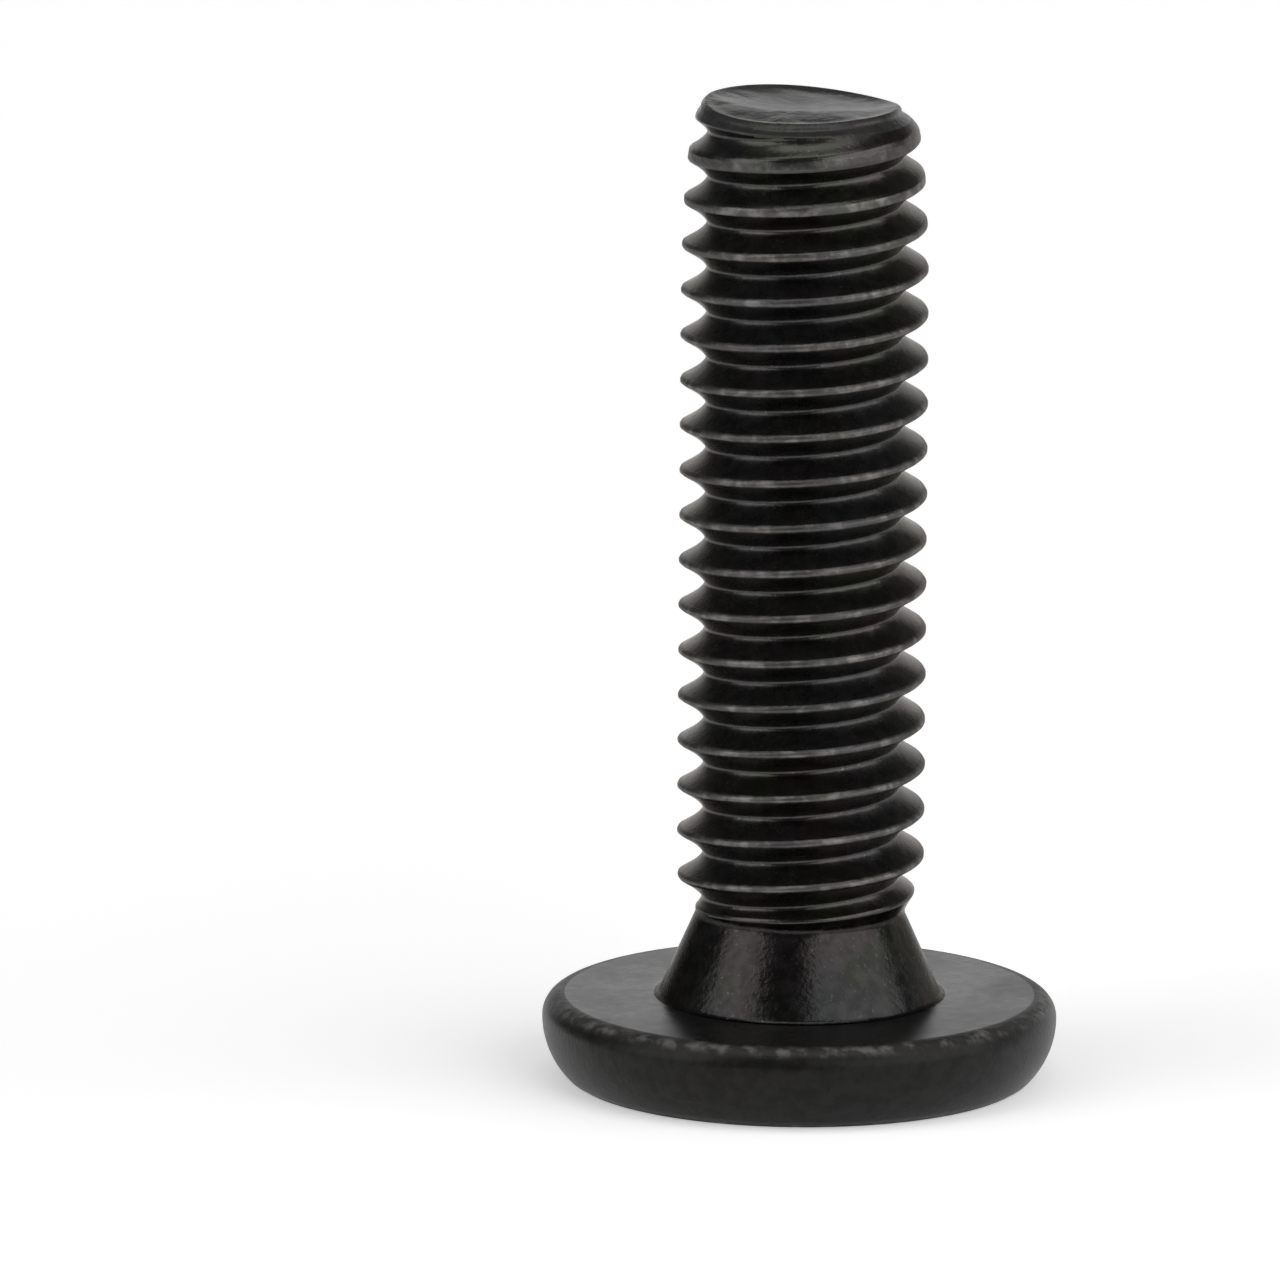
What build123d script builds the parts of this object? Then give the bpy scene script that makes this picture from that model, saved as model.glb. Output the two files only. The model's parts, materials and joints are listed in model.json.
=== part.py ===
from build123d import *
from math import ceil, radians, sqrt, tan
import os

# Ultra low head socket screw, M4 x 0.7 right-hand thread, cold formed and
# thread rolled as one piece. It stands on its head: the origin is the centre of
# the head's outer face and +Z runs along the shank to the tip. Millimetres.

# Head
head_diameter = 7.85
head_height = 1.3
side_radius = 1.25            # the bulging side of the head is one arc
side_widest = 0.95            # height of its widest ring over the outer face
underside_edge_chamfer = 0.18

# Hexagon socket for a 3 mm key, with corners on the X axis
socket_across_flats = 3.02
socket_depth = 1.5
socket_floor_slope = 12.0     # of the conical floor, in degrees
socket_mouth_chamfer = 0.05

# Neck, a cone from the head down to the plain blank
neck_diameter = 4.46
neck_height = 0.96
blank_diameter = 3.38         # the wire that the thread was rolled on

# Shank and thread
shank_length = 13.9           # from the head's underside to the tip
major_diameter = 3.84
pitch = 0.7
flank_angle = 60.0            # between the two flanks of the groove
crest_flat = 0.12
root_flat = 0.14
first_crest_depth = 0.345     # below the tip, on the +X side

# Ends of the thread
point_diameter = 3.16         # of the tip's flat face
point_length = 0.95           # height of the cone that trims the first crests
tip_rim_width = 0.14          # flat ring between the root and the tip's shallow dish
tip_dish_depth = 0.07
crest_runout = 1.3            # height over which the last crests sink to the blank
root_runout = 0.7             # height over which the groove's root rises to it

head_radius = head_diameter / 2
blank_radius = blank_diameter / 2
major_radius = major_diameter / 2
point_radius = point_diameter / 2
half_flank = radians(flank_angle / 2)
groove_half_width = (pitch - crest_flat) / 2
groove_depth = (groove_half_width - root_flat / 2) / tan(half_flank)
root_radius = major_radius - groove_depth
cutter_reach = crest_flat / 4  # past the crests, short of where its turns would meet

neck_top = head_height + neck_height
tip = head_height + shank_length


def turned(*points):
    """Solid turned round Z from corners given as (radius, height)."""
    with BuildSketch(Plane.XZ) as section:
        with BuildLine():
            Polyline(*points, close=True)
        make_face()
    return revolve(section.sketch, Axis.Z)


def head():
    """Low disc with a crisp outer face, a bulging side and a flat underside."""
    centre = head_radius - side_radius
    face_radius = centre + sqrt(side_radius**2 - side_widest**2)
    underside_radius = centre + sqrt(side_radius**2 - (head_height - side_widest) ** 2)
    with BuildSketch(Plane.XZ) as section:
        with BuildLine():
            Polyline((underside_radius, head_height), (0, head_height), (0, 0), (face_radius, 0))
            ThreePointArc(
                (face_radius, 0), (head_radius, side_widest), (underside_radius, head_height)
            )
        make_face()
        corner = section.vertices().sort_by_distance((underside_radius, head_height))[0]
        chamfer(corner, underside_edge_chamfer)
    return revolve(section.sketch, Axis.Z)


def neck_and_runout():
    """Neck's cone, and the cone inside the thread on which the groove's root rises."""
    core_radius = root_radius - cutter_reach
    return turned(
        (0, head_height / 2),
        (neck_diameter / 2, head_height / 2),
        (neck_diameter / 2, head_height),
        (blank_radius, neck_top),
        (core_radius, neck_top + root_runout),
        (0, neck_top + root_runout),
    )


def thread_blank():
    """Envelope of the crests: they rise from the blank and are trimmed at the tip."""
    return turned(
        (0, head_height),
        (blank_radius, head_height),
        (blank_radius, neck_top),
        (major_radius, neck_top + crest_runout),
        (major_radius, tip - point_length),
        (point_radius, tip),
        (0, tip),
    )


def groove_turn():
    """One turn of the groove, starting on the +X side, bounded by ruled helical faces."""
    outer_x = major_radius + cutter_reach
    outer_z = groove_half_width + cutter_reach * tan(half_flank)
    section = [
        (root_radius, root_flat / 2),
        (outer_x, outer_z),
        (outer_x, -outer_z),
        (root_radius, -root_flat / 2),
    ]
    helices = [Pos(0, 0, z) * Helix(pitch, pitch, radius) for radius, z in section]
    edges = [helix.edge() for helix in helices]
    sides = [
        Face.make_surface_from_curves(edge, next_edge)
        for edge, next_edge in zip(edges, edges[1:] + edges[:1])
    ]
    ends = [
        Face(Wire.make_polygon([edge @ end for edge in edges]))
        for end in (0, 1)
    ]
    return Solid(Shell(sides + ends))


def groove():
    """All turns of the groove, from inside the neck to past the tip."""
    top_turn = tip - first_crest_depth + pitch / 2
    turn_count = ceil((top_turn - neck_top) / pitch) + 1
    turn = groove_turn()
    return [Pos(0, 0, top_turn - step * pitch) * turn for step in range(turn_count)]


def tip_dish():
    """Ball that hollows the tip's face, as thread rolling leaves it."""
    dish_radius = root_radius - tip_rim_width
    ball_radius = (dish_radius**2 + tip_dish_depth**2) / (2 * tip_dish_depth)
    return Pos(0, 0, tip - tip_dish_depth + ball_radius) * Sphere(ball_radius)


def socket():
    """Hexagon with a shallow conical floor."""
    corner_radius = socket_across_flats / sqrt(3)
    floor_rise = corner_radius * tan(radians(socket_floor_slope))
    hexagon = extrude(RegularPolygon(corner_radius, 6), socket_depth + floor_rise)
    round_form = turned(
        (0, 0), (corner_radius, 0), (corner_radius, socket_depth), (0, socket_depth + floor_rise)
    )
    return hexagon & round_form


def screw():
    """The whole screw as one solid."""
    threaded = thread_blank() - groove() - tip_dish()
    body = head() + neck_and_runout() + threaded - socket()
    mouth_edges = body.edges().filter_by(GeomType.LINE).group_by(Axis.Z)[0]
    return chamfer(mouth_edges, socket_mouth_chamfer)


os.makedirs("parts", exist_ok=True)
export_step(screw(), "parts/screw.step")
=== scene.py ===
"""The ultra low head screw, dressed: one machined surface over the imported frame.

The screw's lengths are in millimetres and its angles in degrees, as in the part's source.
The studio's lengths are in metres, as Blender's own are.
"""

import json
import math

import bpy
import numpy as np
from mathutils import Matrix, Vector, noise


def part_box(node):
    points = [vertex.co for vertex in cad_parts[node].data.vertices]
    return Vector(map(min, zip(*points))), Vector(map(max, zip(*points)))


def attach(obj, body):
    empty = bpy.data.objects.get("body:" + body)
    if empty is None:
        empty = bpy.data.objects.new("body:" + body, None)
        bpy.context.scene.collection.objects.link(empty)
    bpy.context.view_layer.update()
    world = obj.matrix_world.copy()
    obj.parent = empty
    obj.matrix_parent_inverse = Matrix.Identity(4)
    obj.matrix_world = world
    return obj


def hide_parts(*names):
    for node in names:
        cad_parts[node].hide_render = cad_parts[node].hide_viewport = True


MM = 0.001

# Head, whose height and width come from the frame
SIDE_RADIUS = 1.25
SIDE_WIDEST = 0.95
FACE_EDGE_ROUND = 0.05
UNDERSIDE_EDGE_ROUND = 0.34

# Hexagon socket in the outer face
SOCKET_ACROSS_FLATS = 3.02
SOCKET_DEPTH = 1.5
SOCKET_FLOOR_SLOPE = 12.0
SOCKET_FLOOR_ROUND = 0.06
SOCKET_CORNER_CUT = 0.02
SOCKET_MOUTH_CHAMFER = 0.05
# How far out and how deep the rounded chamfer's rings are, as shares of the chamfer
SOCKET_MOUTH_PROFILE = ((0.12, 1.06), (0.32, 0.72), (0.8, 0.2), (1.12, 0.0))

# Neck under the head
NECK_DIAMETER = 4.32
NECK_HEIGHT = 1.06
NECK_FOOT_ROUND = 0.06
NECK_BLEND = 0.05           # where the cone runs into the thread
BLANK_DIAMETER = 3.38       # at the cone's top
SATIN_ABOVE_NECK = 0.3      # how far the neck's finish climbs into the thread

# Thread
MAJOR_DIAMETER = 3.77
PITCH = 0.7
FLANK_ANGLE = 60.0          # between the two flanks of a groove
CREST_FLAT = 0.07
CREST_ROUND = 0.035
ROOT_RADIUS = 1.47
ROOT_ROUND = 0.28
FIRST_CREST_DEPTH = 0.495   # below the tip, on the +X side
THREAD_RUNOUT = 0.9         # height over which the crests rise above the neck
CREST_UNEVENNESS = 0.01
CREST_UNEVEN_SCALE = 1.7    # of its noise, per millimetre
CREST_UNEVEN_FADE = 0.3     # height over which it sets in above the neck

# Tip: the crests sink towards it, and its face leans; pairs are to the right and to the back
POINT_DIAMETER = 3.16       # that the crests sink to
POINT_FADE = 0.75           # how gently they sink
TIP_LEAN_SIDE = 0.042       # fall a millimetre to the right
TIP_LEAN_BACK = 0.02        # fall a millimetre to the back
TIP_TWIST = 0.03            # growth of the fall to the right, a millimetre to the back
TIP_FACE_RADIUS = 1.47
TIP_FACE_OFFSET = (-0.06, 0.1)
TIP_FRONT_CUT = 0.12        # how far the rim is flattened at its front
TIP_DISH_DEPTH = 0.08
TIP_DISH_RADII = (1.5, 1.05)
TIP_DISH_OFFSET = (0.05, 0.6)
TIP_ROLL_OFF = 0.12         # fall of the face outside its dish
TIP_ROLL_POWER = 1.3
TIP_BUMPS = 0.02
TIP_BUMP_SCALES = (1.6, 5.0)
TIP_FINE_BUMP_SHARE = 0.35
TIP_BUMP_FADE = (1.0, 0.9)  # shares of the face's radius where the bumps set in

# Lip round the tip's face, and the groove below its rim
TIP_LIP_HEIGHT = 0.3
TIP_LIP_SLOPE = 1.5         # growth of the radius a millimetre down
TIP_LIP_ROUND = 0.05
TIP_GROOVE_DEPTH = 0.04
TIP_GROOVE_BELOW_RIM = 0.1
TIP_GROOVE_HALF_WIDTH = 0.045
# Where the thread starts the lip is steeper; the angles are from the +X side
THREAD_START_ANGLE = 10.0
THREAD_START_SPREAD = 50.0
THREAD_START_SLOPE = 0.95

# Mesh: the columns round the axis, and each stretch's rings as shares of the way along it
COLUMNS = 180
ROWS_PER_PITCH = 20
SOCKET_FLOOR_RINGS = (0.06, 0.18, 0.34, 0.5, 0.66, 0.82, 0.93, 0.985)
SOCKET_WALL_RINGS = (0.0, 0.25, 0.5, 0.75, 0.95, 1.0)
OUTER_FACE_RINGS = (0.0, 0.12, 0.3, 0.5, 0.7, 0.88, 1.0)
FACE_EDGE_TURNS = (0.0, 20.0, 40.0, 60.0)
HEAD_SIDE_RINGS = 14
UNDERSIDE_EDGE_STEP = 8
UNDERSIDE_RINGS = (0.04, 0.12, 0.25, 0.4, 0.55, 0.7, 0.84, 0.94, 1.0)
NECK_FOOT_STEP = 15
NECK_RINGS = 12
TIP_LIP_RINGS = (0.12, 0.24, 0.36, 0.48, 0.58, 0.67, 0.75, 0.82, 0.88, 0.93, 0.97, 1.0)
TIP_FACE_RINGS = (0.99, 0.97, 0.94, 0.9, 0.85, 0.79, 0.72, 0.64, 0.56, 0.47, 0.37, 0.27, 0.17, 0.07)
# Gaps between the last ring of a round and the first ring of what follows it
FLAT_MARGIN = 0.02
HEAD_SIDE_MARGIN = 0.01
NECK_FOOT_MARGIN = 0.04
NECK_TOP_MARGIN = 0.03
# A thread row's point nearer than this to the ring at its end is that ring's point
TOUCHING = 1e-4

# Wear and painted highlights, from 0 on untouched oxide to 1 on bare edges and the brightest painted
# highlights
SOCKET_MOUTH_WEAR = 0.8
FACE_EDGE_WEAR = 0.9
UNDERSIDE_EDGE_WEAR_AND_HIGHLIGHT = 0.8
# Where this painted highlight and wear grow round the underside's edge, in radians from the side
UNDERSIDE_HIGHLIGHT_TURNS = (0.5, 1.1)
# Where a crest's wear and painted highlight fade beside its middle, and the shares of its height where
# they grow
CREST_HIGHLIGHT_REACH = (0.045, 0.085)
CREST_HIGHLIGHT_HEIGHTS = (0.4, 0.95)

# Black oxide's noises: their scales are per millimetre
PATCH_SCALE = 0.55
TINT_SCALE = 0.8
FLECK_SCALE = 4.5
MOTTLE_SCALE = 5.0
GRAIN_SCALE = 12.0
SPECK_SCALE = 20.0
# The values of the noises, or of the wear and painted highlights, between which each effect sets in
COOL_RANGE = (0.4, 0.65)
TINT_RANGE = (0.42, 0.58)
FLECK_RANGE = (0.44, 0.68)
MOTTLE_RANGE = (0.35, 0.65)
SPECK_RANGE = (0.68, 0.78)
ROUGH_RANGE = (0.3, 0.7)
WORN_GRAIN_RANGE = (0.0, 0.5)
# Colours, as shares of a finish's level in red, green and blue
OLIVE = (1.0, 1.02, 0.85)
PLUM = (1.12, 0.98, 0.98)
COOL = (0.96, 0.98, 1.0)
SPECK = (3.0, 3.0, 3.0)
SPECK_STRENGTH = 0.5
FLECK_STRENGTHS = (0.2, 1.0)
WORN_AND_HIGHLIGHT_WARMTH = 0.05
RIM_WARMTH = 0.03
# What each adds to the roughness, and the grain's relief
PATCH_ROUGHNESS = (-0.03, 0.03)
MOTTLE_ROUGHNESS = (-0.02, 0.03)
WORN_ROUGHNESS = 0.15
WORN_GRAIN = 2.5
GRAIN_HEIGHT = 0.01
REFRACTION = 1.5
# Each zone's tone, gloss and grain, and the tone of its rubbed edges and painted edge highlights
FINISHES = {
    "head": dict(level=0.005, roughness=0.36, specular=0.25, grain=0.5, worn_and_highlight=0.17),
    "underside": dict(level=0.007, roughness=0.28, specular=0.5, grain=0.15, worn_and_highlight=0.04),
    "neck": dict(
        level=0.038, roughness=0.24, specular=0.5, grain=0.7, worn_and_highlight=0.06,
        metallic=1.0, patchy=0.3, rim=0.5,
    ),
    "thread": dict(
        level=0.068, roughness=0.26, specular=0.5, grain=0.4, worn_and_highlight=0.18,
        metallic=1.0, rim=0.7,
    ),
    "tip": dict(level=0.022, roughness=0.3, specular=0.5, grain=0.8, worn_and_highlight=0.05),
    "socket": dict(level=0.012, roughness=0.3, specular=0.5, grain=0.4, worn_and_highlight=0.06),
}

# Camera, and its picture as it measures at the screw
CAMERA_ELEVATION = 12.4
CAMERA_ROLL = 0.38
CAMERA_DISTANCE = 550.0
PICTURE_WIDTH = 19.512
AXIS_RIGHT_OF_CENTRE = 2.43
UNDERSIDE_BELOW_CENTRE = 5.38
SENSOR_WIDTH = 36.0
CLIP_RANGE = (10.0, 10000.0)

# Studio, with lengths in metres
FLOOR_SIZE = 1.6
FLOOR_GREY = 0.93
FLOOR_LIFT = 0.37
LAMP_DISTANCE = 1.0
SOFTBOXES = {
    "left_box": dict(azimuth=-66.0, elevation=30.0, width=0.75, height=0.9, brightness=1.6),
    "right_box": dict(azimuth=58.0, elevation=30.0, width=1.6, height=0.9, brightness=1.6),
    "top_box": dict(azimuth=0.0, elevation=82.0, width=1.0, height=0.45, brightness=1.5),
}
ROOM_LIGHT = 0.13
SWEEP_AZIMUTH = 160.0
# Where the white sweep fades: the cosine of the angle from its middle, and the elevation's sine
SWEEP_SIDE_FADE = (0.5, 0.85)
SWEEP_TOP_FADE = (0.22, 0.42)


def smoothstep(start, end, value):
    """Eases from 0 at the start to 1 at the end."""
    t = np.clip((value - start) / (end - start), 0.0, 1.0)
    return t * t * (3.0 - 2.0 * t)


def smooth_min(a, b, reach):
    """The lower of two values, blended where they are within reach of each other."""
    share = np.clip(0.5 + 0.5 * (b - a) / reach, 0.0, 1.0)
    return b + (a - b) * share - reach * share * (1.0 - share)


def smooth_max(a, b, reach):
    """The higher of two values, blended in the same way."""
    return -smooth_min(-a, -b, reach)


def uneven(x, y, z, scale):
    """Smooth noise between about -1 and 1 at points in millimetres."""
    points = zip(np.ravel(x) * scale, np.ravel(y) * scale, np.ravel(z) * scale)
    return np.array([noise.noise(Vector(p)) for p in points]).reshape(np.shape(x))


def wrapped(angle):
    """An angle brought between minus and plus half a turn."""
    return (angle + math.pi) % (2.0 * math.pi) - math.pi


class ScrewSurface:
    """Rings of vertices from the socket's floor, out round the head and up to the tip."""

    def __init__(self, head_radius, head_height, tip):
        self.head_radius = head_radius
        self.head_height = head_height
        self.tip = tip
        self.neck_top = head_height + NECK_HEIGHT
        self.neck_slope = (NECK_DIAMETER - BLANK_DIAMETER) / 2 / NECK_HEIGHT
        self.angle = np.arange(COLUMNS) * 2.0 * math.pi / COLUMNS
        self.points = []
        self.wear_and_highlight = []
        self.faces = []
        self.zones = []
        self.last_ring = None

    def build(self):
        """The whole surface, from the socket's middle to the tip's."""
        thread_top = self.tip - TIP_LIP_HEIGHT
        self.head()
        self.thread(thread_top)
        self.point(thread_top)

    # The mesh

    def add_points(self, angle, radius, z, wear_and_highlight):
        """Adds a point for each angle, and gives their numbers."""
        first = len(self.points)
        radius, z, wear_and_highlight = (np.broadcast_to(v, np.shape(angle)) for v in (radius, z, wear_and_highlight))
        x, y = radius * np.cos(angle), radius * np.sin(angle)
        self.points += list(zip(x.tolist(), y.tolist(), z.tolist()))
        self.wear_and_highlight += wear_and_highlight.tolist()
        return np.arange(first, first + len(angle))

    def add_face(self, corners, zone):
        """Adds a face, unless its corners fall together into a line."""
        kept = list(dict.fromkeys(corners))
        if len(kept) > 2:
            self.faces.append(kept)
            self.zones.append(zone)

    def ring(self, radius, z, zone, wear_and_highlight=0.0):
        """A closed ring, joined to the one before it by faces of a zone."""
        upper = self.add_points(self.angle, radius, z, wear_and_highlight)
        lower = self.last_ring
        if lower is not None:
            for i in range(COLUMNS):
                j = (i + 1) % COLUMNS
                self.add_face((lower[i], lower[j], upper[j], upper[i]), zone)
        self.last_ring = upper

    def cap(self, z, zone, closing):
        """A fan from the last ring to a middle point, which closes the tip or starts the socket."""
        centre = self.add_points(np.zeros(1), 0.0, z, 0.0)[0]
        for i in range(COLUMNS):
            j = (i + 1) % COLUMNS
            edge = (self.last_ring[i], self.last_ring[j])
            self.add_face((*edge, centre) if closing else (centre, edge[1], edge[0]), zone)

    # The head

    def head(self):
        """The socket, the outer face, the bulging side and its rounded edges, and the underside."""
        middle = self.head_radius - SIDE_RADIUS

        def side_radius(z):
            return middle + math.sqrt(SIDE_RADIUS**2 - (z - SIDE_WIDEST) ** 2)

        edge = side_radius(0.0)
        mouth = self.socket()
        self.outer_face(mouth, edge)
        for turn in FACE_EDGE_TURNS:
            a = math.radians(turn)
            out = edge - FACE_EDGE_ROUND * (1.0 - math.sin(a))
            up = FACE_EDGE_ROUND * (1.0 - math.cos(a))
            self.ring(out, up, "head", FACE_EDGE_WEAR)

        round_start = self.head_height - UNDERSIDE_EDGE_ROUND
        for z in np.linspace(FACE_EDGE_ROUND + HEAD_SIDE_MARGIN, round_start, HEAD_SIDE_RINGS):
            self.ring(side_radius(z), z, "head")

        centre = side_radius(round_start) - UNDERSIDE_EDGE_ROUND
        for turn in range(UNDERSIDE_EDGE_STEP, 90 + UNDERSIDE_EDGE_STEP, UNDERSIDE_EDGE_STEP):
            a = math.radians(min(turn, 90))
            out = centre + UNDERSIDE_EDGE_ROUND * math.cos(a)
            up = round_start + UNDERSIDE_EDGE_ROUND * math.sin(a)
            # A painted highlight band along the underside's rounded edge, with some real rubbing
            wear_and_highlight = UNDERSIDE_EDGE_WEAR_AND_HIGHLIGHT * smoothstep(*UNDERSIDE_HIGHLIGHT_TURNS, a) * math.sin(2 * a)
            self.ring(out, up, "head", wear_and_highlight)
        self.underside(centre)

    def socket(self):
        """The hexagon socket from its conical floor out to its mouth, whose radii it gives."""
        apothem = SOCKET_ACROSS_FLATS / 2
        corner = apothem / math.cos(math.radians(30))
        from_flat = np.radians((np.degrees(self.angle) % 60.0) - 30.0)
        hexagon = np.minimum(apothem / np.cos(from_flat), corner - SOCKET_CORNER_CUT)
        fall = math.tan(math.radians(SOCKET_FLOOR_SLOPE))

        def floor(share):
            return SOCKET_DEPTH + (corner - share * hexagon) * fall

        innermost, *others = SOCKET_FLOOR_RINGS
        self.ring(innermost * hexagon, floor(innermost), "socket")
        self.cap(SOCKET_DEPTH + corner * fall, "socket", closing=False)
        for share in others:
            self.ring(share * hexagon, floor(share), "socket")
        self.ring(hexagon, floor(1.0) - SOCKET_FLOOR_ROUND / 2, "socket")

        top = floor(1.0) - SOCKET_FLOOR_ROUND
        bottom = SOCKET_MOUTH_CHAMFER + FLAT_MARGIN
        for share in SOCKET_WALL_RINGS:
            self.ring(hexagon, top + share * (bottom - top), "socket")
        for out_share, deep_share in SOCKET_MOUTH_PROFILE:
            mouth = hexagon + out_share * SOCKET_MOUTH_CHAMFER
            self.ring(mouth, deep_share * SOCKET_MOUTH_CHAMFER, "head", SOCKET_MOUTH_WEAR)
        return mouth

    def outer_face(self, mouth, edge_radius):
        """The flat face on which the screw stands."""
        start = mouth + FLAT_MARGIN
        end = edge_radius - FACE_EDGE_ROUND - FLAT_MARGIN
        for share in OUTER_FACE_RINGS:
            self.ring(start + share * (end - start), 0.0, "head")

    def underside(self, outer):
        """The flat bearing ring, and the neck's cone that leaves it in a small hollow round."""
        neck = NECK_DIAMETER / 2
        foot = neck + NECK_FOOT_ROUND
        for share in UNDERSIDE_RINGS:
            self.ring(outer + share * (foot - outer), self.head_height, "underside")
        for turn in range(NECK_FOOT_STEP, 90 + NECK_FOOT_STEP, NECK_FOOT_STEP):
            a = math.radians(turn)
            up = NECK_FOOT_ROUND * (1.0 - math.cos(a))
            out = neck - self.neck_slope * up + NECK_FOOT_ROUND * (1.0 - math.sin(a))
            self.ring(out, self.head_height + up, "neck")
        cone = (NECK_FOOT_ROUND + NECK_FOOT_MARGIN, NECK_HEIGHT - NECK_TOP_MARGIN)
        for up in np.linspace(*cone, NECK_RINGS):
            self.ring(neck - self.neck_slope * up, self.head_height + up, "neck")

    # The thread

    def thread(self, top):
        """The helical rows: each climbs one pitch a turn and meets the row a pitch above."""
        bottom = self.neck_top
        radius, _ = self.thread_radius(self.angle, np.full(COLUMNS, bottom))
        self.ring(radius, bottom, "neck")
        lower = self.last_ring
        radius, wear_and_highlight = self.thread_radius(self.angle, np.full(COLUMNS, top))
        upper = self.add_points(self.angle, radius, top, wear_and_highlight)

        rows = math.ceil((top - bottom) / PITCH * ROWS_PER_PITCH) + 2 * ROWS_PER_PITCH
        climb = self.angle / (2.0 * math.pi) * PITCH
        grid = []
        for row in range(rows):
            z = bottom - PITCH + row * PITCH / ROWS_PER_PITCH + climb
            started = z > bottom + TOUCHING
            between = started & (z < top - TOUCHING)
            radius, wear_and_highlight = self.thread_radius(self.angle[between], z[between])
            line = np.where(started, upper, lower)
            line[between] = self.add_points(self.angle[between], radius, z[between], wear_and_highlight)
            grid.append(line)

        for row in range(rows - ROWS_PER_PITCH - 1):
            line, above = grid[row], grid[row + 1]
            for i in range(COLUMNS - 1):
                self.add_thread_face((line[i], line[i + 1], above[i + 1], above[i]))
            next_line, next_above = grid[row + ROWS_PER_PITCH], grid[row + ROWS_PER_PITCH + 1]
            self.add_thread_face((line[-1], next_line[0], next_above[0], above[-1]))
        self.last_ring = upper

    def add_thread_face(self, corners):
        """Adds a face of the thread, which keeps the neck's finish just above the neck."""
        height = self.points[corners[0]][2]
        satin = height < self.neck_top + SATIN_ABOVE_NECK
        self.add_face(corners, "neck" if satin else "thread")

    def thread_radius(self, angle, z):
        """The thread's radius, with its run-out and tip, and its crests' wear and painted highlight."""
        turns = (z - self.tip + FIRST_CREST_DEPTH) / PITCH - angle / (2.0 * math.pi)
        from_crest = np.abs(turns - np.round(turns)) * PITCH
        major = MAJOR_DIAMETER / 2
        flank = major + (CREST_FLAT / 2 - from_crest) / math.tan(math.radians(FLANK_ANGLE / 2))
        crest = self.crest_radius(angle, z)
        radius = smooth_max(smooth_min(flank, crest, CREST_ROUND), ROOT_RADIUS, ROOT_ROUND)
        cone = BLANK_DIAMETER / 2 - self.neck_slope * (z - self.neck_top)
        radius = smooth_max(radius, cone, NECK_BLEND)

        rim_radius, rim_height, slope = self.rim(angle)
        lip = rim_radius + (rim_height - z) * slope
        radius = smooth_min(radius, lip, TIP_LIP_ROUND)
        from_groove = rim_height - TIP_GROOVE_BELOW_RIM - z
        radius = radius - TIP_GROOVE_DEPTH * np.exp(-((from_groove / TIP_GROOVE_HALF_WIDTH) ** 2))

        # Each crest's paling is a painted highlight line along it, with some real rubbed bare metal
        height = np.clip((radius - ROOT_RADIUS) / (major - ROOT_RADIUS), 0.0, 1.0)
        beside = 1.0 - smoothstep(*CREST_HIGHLIGHT_REACH, from_crest)
        return radius, beside * smoothstep(*CREST_HIGHLIGHT_HEIGHTS, height)

    def crest_radius(self, angle, z):
        """The slightly uneven crests, which sink towards the tip and into the neck."""
        major = MAJOR_DIAMETER / 2
        above_neck = z - self.neck_top
        radius = major - (major - POINT_DIAMETER / 2) * np.exp(-(self.tip - z) / POINT_FADE)
        full = smoothstep(0, THREAD_RUNOUT, above_neck)
        radius = np.minimum(radius, ROOT_RADIUS + (major - ROOT_RADIUS) * full)
        wander = uneven(major * np.cos(angle), major * np.sin(angle), z, CREST_UNEVEN_SCALE)
        return radius + CREST_UNEVENNESS * wander * smoothstep(0, CREST_UNEVEN_FADE, above_neck)

    # The tip

    def point(self, bottom):
        """The lip round the tip, and its dished and slightly bumpy face."""
        _, rim_height, _ = self.rim(self.angle)
        for share in TIP_LIP_RINGS:
            z = bottom + share * (rim_height - bottom)
            rim_radius, wear_and_highlight = self.thread_radius(self.angle, z)
            self.ring(rim_radius, z, "tip", wear_and_highlight)
        flat = np.zeros(COLUMNS)
        coarse, fine = TIP_BUMP_SCALES
        for share in TIP_FACE_RINGS:
            x, y = rim_radius * share * np.cos(self.angle), rim_radius * share * np.sin(self.angle)
            bumps = uneven(x, y, flat, coarse) + TIP_FINE_BUMP_SHARE * uneven(x, y, flat, fine)
            sunk = TIP_BUMPS * (bumps - 1.0) * smoothstep(*TIP_BUMP_FADE, share)
            self.ring(rim_radius * share, self.face_height(x, y) + sunk, "tip")
        self.cap(self.face_height(0.0, 0.0) - TIP_BUMPS, "tip", closing=True)

    def rim(self, angle):
        """The tip's rim, flattened at its front, and the lip's slope, steeper at the thread's start."""
        from_start = np.degrees(wrapped(angle)) - THREAD_START_ANGLE
        start = np.exp(-((from_start / THREAD_START_SPREAD) ** 2))
        side, back = TIP_FACE_OFFSET
        radius = TIP_FACE_RADIUS + side * np.cos(angle) + back * np.sin(angle)
        radius = radius - TIP_FRONT_CUT * np.clip(-np.sin(angle), 0.0, None) ** 2
        slope = TIP_LIP_SLOPE + (THREAD_START_SLOPE - TIP_LIP_SLOPE) * start
        return radius, self.face_height(radius * np.cos(angle), radius * np.sin(angle)), slope

    def face_height(self, x, y):
        """The tip's face leans, its dish sits off centre and its front rolls over."""
        side, back = x - TIP_DISH_OFFSET[0], y - TIP_DISH_OFFSET[1]
        lean = TIP_LEAN_SIDE * (x + POINT_DIAMETER / 2) + TIP_LEAN_BACK * y + TIP_TWIST * x * back
        out = np.hypot(side / TIP_DISH_RADII[0], back / TIP_DISH_RADII[1])
        dish = TIP_DISH_DEPTH * np.clip(1.0 - out**2, 0.0, 1.0)
        roll_off = TIP_ROLL_OFF * np.clip(out - 1.0, 0.0, None) ** TIP_ROLL_POWER
        return self.tip - lean - dish - roll_off


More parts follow.
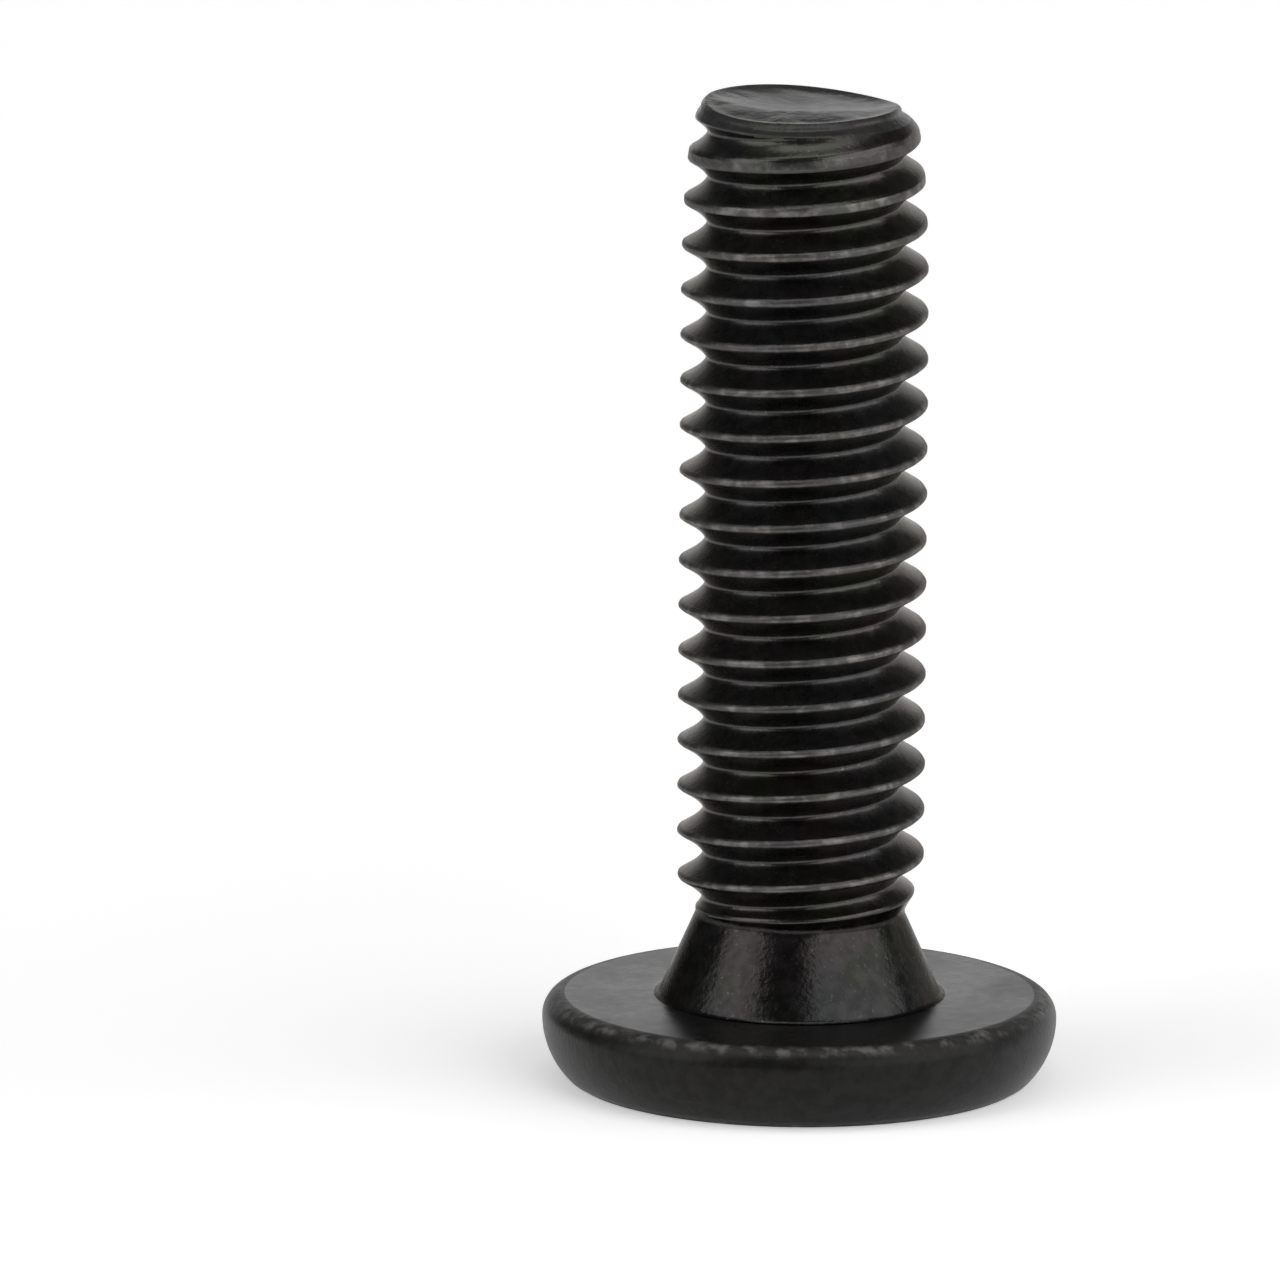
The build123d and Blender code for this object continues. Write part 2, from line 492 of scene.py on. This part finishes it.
def screw_object(surface, materials):
    """The surface as one Blender object, with a material for each of its zones."""
    mesh = bpy.data.meshes.new("screw_surface")
    mesh.from_pydata([Vector(p) * MM for p in surface.points], [], surface.faces)
    zones = list(materials)
    for zone in zones:
        mesh.materials.append(materials[zone])
    mesh.polygons.foreach_set("material_index", [zones.index(zone) for zone in surface.zones])
    mesh.polygons.foreach_set("use_smooth", [True] * len(surface.faces))
    wear_and_highlight = mesh.attributes.new("wear_and_highlight", "FLOAT", "POINT")
    wear_and_highlight.data.foreach_set("value", surface.wear_and_highlight)
    mesh.update()
    piece = bpy.data.objects.new("screw_surface", mesh)
    bpy.context.scene.collection.objects.link(piece)
    return piece


class Nodes:
    """Short names for building a material's nodes."""

    def __init__(self, tree):
        self.tree = tree
        self.tree.nodes.clear()

    def plug(self, socket, value):
        """Links another node's output to an input, or sets the input's own value."""
        if isinstance(value, bpy.types.NodeSocket):
            self.tree.links.new(value, socket)
        else:
            socket.default_value = value

    def add(self, kind, inputs=None, **settings):
        node = self.tree.nodes.new(kind)
        for name, value in settings.items():
            setattr(node, name, value)
        for name, value in (inputs or {}).items():
            self.plug(node.inputs[name], value)
        return node

    def noise(self, where, scale, detail):
        """Noise from 0 to 1, mostly near a half."""
        found = self.add("ShaderNodeTexNoise", {"Vector": where, "Scale": scale, "Detail": detail})
        return found.outputs["Fac"]

    def ramp(self, value, start, end, low=0.0, high=1.0):
        """Eases from low to high as the value goes from the start to the end."""
        limits = {"Value": value, "From Min": start, "From Max": end, "To Min": low, "To Max": high}
        found = self.add("ShaderNodeMapRange", limits, interpolation_type="SMOOTHSTEP")
        return found.outputs["Result"]

    def math(self, operation, a, b):
        found = self.add("ShaderNodeMath", {0: a, 1: b}, operation=operation)
        return found.outputs[0]

    def mix(self, share, a, b):
        """A colour between two; the node's sockets share their names, so they go by number."""
        found = self.add("ShaderNodeMix", data_type="RGBA")
        for index, value in ((0, share), (6, a), (7, b)):
            self.plug(found.inputs[index], value)
        return found.outputs[2]


def grey(level, warmth=0.0):
    """A grey with a little more red and less blue."""
    return (level * (1 + warmth), level, level * (1 - warmth), 1.0)


def tinted(level, tint):
    """A colour from its level and a tint's shares of red, green and blue."""
    return (*(level * share for share in tint), 1.0)


def black_oxide(name, level, roughness, specular, grain, worn_and_highlight, metallic=0.0, patchy=0.2, rim=0.97):
    """Black oxide on steel: uneven in tone and gloss, with a fine grain and pale edges, partly worn and
    partly painted highlights.
    """
    material = bpy.data.materials.new(name)
    material.use_nodes = True
    nodes = Nodes(material.node_tree)
    place = nodes.add("ShaderNodeTexCoord").outputs["Object"]
    scaled = nodes.add("ShaderNodeVectorMath", {0: place, 1: (1 / MM,) * 3}, operation="MULTIPLY")
    where = scaled.outputs["Vector"]

    patches = nodes.noise(where, PATCH_SCALE, detail=2.0)
    tint = nodes.noise(where, TINT_SCALE, detail=1.0)
    mottle = nodes.noise(where, MOTTLE_SCALE, detail=3.0)
    specks = nodes.noise(where, SPECK_SCALE, detail=1.0)

    olive_or_plum = nodes.ramp(tint, *TINT_RANGE)
    colour = nodes.mix(olive_or_plum, tinted(level, OLIVE), tinted(level, PLUM))
    colour = nodes.mix(nodes.ramp(patches, *COOL_RANGE), colour, tinted(level, COOL))
    dulled = nodes.ramp(mottle, *MOTTLE_RANGE, 1.0 - patchy, 1.0)
    colour = nodes.mix(dulled, grey(0.0), colour)
    speckled = nodes.ramp(specks, *SPECK_RANGE, 0.0, SPECK_STRENGTH)
    colour = nodes.mix(speckled, colour, tinted(level, SPECK))

    # Edges pale where rubbed; along the crests and the underside's edge this paling is a painted
    # highlight
    edge = nodes.add("ShaderNodeAttribute", attribute_name="wear_and_highlight").outputs["Fac"]
    flecks = nodes.noise(where, FLECK_SCALE, detail=5.0)
    rubbed_and_highlit = nodes.math("MULTIPLY", edge, nodes.ramp(flecks, *FLECK_RANGE, *FLECK_STRENGTHS))
    colour = nodes.mix(rubbed_and_highlit, colour, grey(worn_and_highlight, WORN_AND_HIGHLIGHT_WARMTH))

    smoothest, roughest = (roughness + more for more in PATCH_ROUGHNESS)
    rough = nodes.ramp(patches, *ROUGH_RANGE, smoothest, roughest)
    rough = nodes.math("ADD", rough, nodes.ramp(mottle, *ROUGH_RANGE, *MOTTLE_ROUGHNESS))
    rough = nodes.math("ADD", rough, nodes.math("MULTIPLY", edge, WORN_ROUGHNESS))

    fine = nodes.noise(where, GRAIN_SCALE, detail=3.0)
    coarsened = nodes.ramp(edge, *WORN_GRAIN_RANGE, 1.0, WORN_GRAIN)
    relief = nodes.math("MULTIPLY", fine, coarsened)
    bump = nodes.add(
        "ShaderNodeBump", {"Height": relief, "Strength": grain, "Distance": GRAIN_HEIGHT * MM}
    )
    shader = nodes.add(
        "ShaderNodeBsdfPrincipled",
        {
            "Base Color": colour,
            "Roughness": rough,
            "Metallic": metallic,
            "Specular Tint": grey(rim, RIM_WARMTH),
            "IOR": REFRACTION,
            "Specular IOR Level": nodes.math("MULTIPLY", dulled, specular),
            "Normal": bump.outputs["Normal"],
        },
    )
    nodes.add("ShaderNodeOutputMaterial", {"Surface": shader.outputs["BSDF"]})
    return material


def direction(azimuth, elevation):
    """Towards a place in the studio; azimuth 0 is the camera's side, 90 is to its right."""
    a, e = math.radians(azimuth), math.radians(elevation)
    return Vector((math.sin(a) * math.cos(e), -math.cos(a) * math.cos(e), math.sin(e)))


def softbox(name, azimuth, elevation, width, height, brightness):
    """An area lamp that faces the object, with its brightness as radiance."""
    light = bpy.data.lights.new(name, "AREA")
    light.shape = "RECTANGLE"
    light.size, light.size_y = width, height
    light.energy = brightness * math.pi * width * height
    lamp = bpy.data.objects.new(name, light)
    away = direction(azimuth, elevation)
    lamp.location = away * LAMP_DISTANCE
    lamp.rotation_mode = "QUATERNION"
    lamp.rotation_quaternion = away.to_track_quat("Z", "Y")
    bpy.context.scene.collection.objects.link(lamp)


def studio_world():
    """A white sweep behind the object and a dim room in front; white to the camera."""
    world = bpy.data.worlds.new("studio")
    bpy.context.scene.world = world
    world.use_nodes = True
    nodes = Nodes(world.node_tree)
    toward = nodes.add("ShaderNodeTexCoord").outputs["Generated"]
    axes = nodes.add("ShaderNodeSeparateXYZ", {"Vector": toward}).outputs
    middle = {0: toward, 1: direction(SWEEP_AZIMUTH, 0.0)}
    facing = nodes.add("ShaderNodeVectorMath", middle, operation="DOT_PRODUCT").outputs["Value"]
    behind = nodes.ramp(facing, *SWEEP_SIDE_FADE)
    lower = nodes.ramp(axes["Z"], *SWEEP_TOP_FADE, 1.0, 0.0)
    sweep = nodes.math("MULTIPLY", behind, lower)
    room = nodes.ramp(sweep, 0.0, 1.0, ROOM_LIGHT, 1.0)
    camera = nodes.add("ShaderNodeLightPath").outputs["Is Camera Ray"]
    strength = nodes.math("MAXIMUM", room, camera)
    background = nodes.add("ShaderNodeBackground", {"Color": grey(1.0), "Strength": strength})
    nodes.add("ShaderNodeOutputWorld", {"Surface": background.outputs["Background"]})


def studio_floor(level):
    """Pale paper that takes the screw's shadow, lifted a little where it is seen or mirrored."""
    bpy.ops.mesh.primitive_plane_add(size=FLOOR_SIZE, location=(0, 0, level))
    floor = bpy.context.object
    floor.name = "floor"
    material = bpy.data.materials.new("floor_paper")
    material.use_nodes = True
    nodes = Nodes(material.node_tree)
    paper = nodes.add("ShaderNodeBsdfDiffuse", {"Color": grey(FLOOR_GREY)})
    rays = nodes.add("ShaderNodeLightPath").outputs
    seen = nodes.math("MAXIMUM", rays["Is Camera Ray"], rays["Is Glossy Ray"])
    lift = nodes.math("MULTIPLY", seen, FLOOR_LIFT)
    glow = nodes.add("ShaderNodeEmission", {"Color": grey(1.0), "Strength": lift})
    both = nodes.add("ShaderNodeAddShader", {0: paper.outputs[0], 1: glow.outputs[0]})
    nodes.add("ShaderNodeOutputMaterial", {"Surface": both.outputs[0]})
    floor.data.materials.append(material)


def photo_camera(head_height):
    """The photograph's view, aimed from the middle of the head's underside."""
    forward = -direction(0.0, CAMERA_ELEVATION)
    flat_right = Vector((1.0, 0.0, 0.0))
    flat_up = flat_right.cross(forward)
    roll = math.radians(CAMERA_ROLL)
    right = flat_right * math.cos(roll) + flat_up * math.sin(roll)
    up = flat_up * math.cos(roll) - flat_right * math.sin(roll)
    underside = Vector((0.0, 0.0, head_height))
    aim = underside - right * AXIS_RIGHT_OF_CENTRE + up * UNDERSIDE_BELOW_CENTRE

    camera = bpy.data.cameras.new("camera")
    camera.sensor_width = SENSOR_WIDTH
    camera.lens = SENSOR_WIDTH * CAMERA_DISTANCE / PICTURE_WIDTH
    camera.clip_start, camera.clip_end = (depth * MM for depth in CLIP_RANGE)
    stand = bpy.data.objects.new("camera", camera)
    turn = Matrix((right, up, -forward)).transposed().to_4x4()
    stand.matrix_world = Matrix.Translation((aim - forward * CAMERA_DISTANCE) * MM) @ turn
    bpy.context.scene.collection.objects.link(stand)
    bpy.context.scene.camera = stand


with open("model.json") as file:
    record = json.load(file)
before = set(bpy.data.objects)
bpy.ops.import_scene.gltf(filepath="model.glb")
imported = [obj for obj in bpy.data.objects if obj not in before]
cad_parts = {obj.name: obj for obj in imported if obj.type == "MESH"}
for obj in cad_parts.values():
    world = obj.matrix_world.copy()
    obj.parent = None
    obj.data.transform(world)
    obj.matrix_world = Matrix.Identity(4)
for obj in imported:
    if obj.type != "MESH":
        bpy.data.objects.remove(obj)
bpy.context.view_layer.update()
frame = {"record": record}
low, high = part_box("screw")
head_radius = min(high[0], high[1], -low[0], -low[1]) / MM
mounts = {mount["name"]: mount["pos_m"] for mount in frame["record"]["mounts"]}
head_height = mounts["bearing_face"][2] / MM
photo_camera(head_height)

surface = ScrewSurface(head_radius, head_height, high[2] / MM)
surface.build()
materials = {zone: black_oxide("oxide_" + zone, **finish) for zone, finish in FINISHES.items()}
screw = screw_object(surface, materials)
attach(screw, "root")
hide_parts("screw")

studio_floor(low[2])
studio_world()
for name, box in SOFTBOXES.items():
    softbox(name, **box)

view = bpy.context.scene.view_settings
view.view_transform = "Standard"
